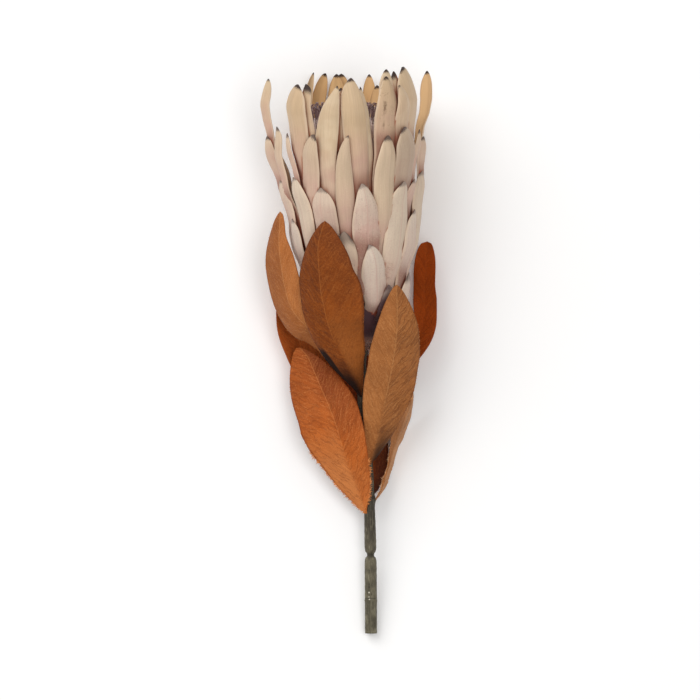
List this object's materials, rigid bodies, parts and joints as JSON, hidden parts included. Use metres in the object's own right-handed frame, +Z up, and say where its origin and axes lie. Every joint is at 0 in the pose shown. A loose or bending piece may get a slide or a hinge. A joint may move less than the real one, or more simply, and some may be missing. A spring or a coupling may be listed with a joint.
{
  "type": "king protea flower",
  "caption": "Cut king protea lying on its side: tall cup head of layered bracts round a floret mass, large leaves and a woody stem.",
  "frame": {"origin": "on the surface, under the middle of the flower's box as it lies", "axes": "+Y from the cut end of the stem towards the head's open end, +Z up from the surface"},
  "size_m": [0.157, 0.505, 0.1474],
  "materials": {
    "stem": "dull olive-grey woody stem",
    "bracts": "matt downy cream bract with a dark tip",
    "florets": "downy lilac-grey florets",
    "leaf_tan": "dry tan leaf with pale veins",
    "leaf_brown": "dry red-brown leaf with pale veins",
    "leaf_rust": "dry rust leaf with pale veins",
    "leaf_red": "dry dark red leaf"
  },
  "bodies": {
    "root": {"stem": "stem", "head_bracts": "bracts", "florets": "florets", "leaf_left": "leaf_tan", "leaf_upper_left": "leaf_brown", "leaf_lower_left": "leaf_rust", "leaf_upper_right": "leaf_tan", "leaf_right": "leaf_red", "leaf_under_left": "leaf_brown", "leaf_lower_right": "leaf_tan", "leaf_under_right": "leaf_red", "leaf_under": "leaf_red"}
  },
  "joints": []
}
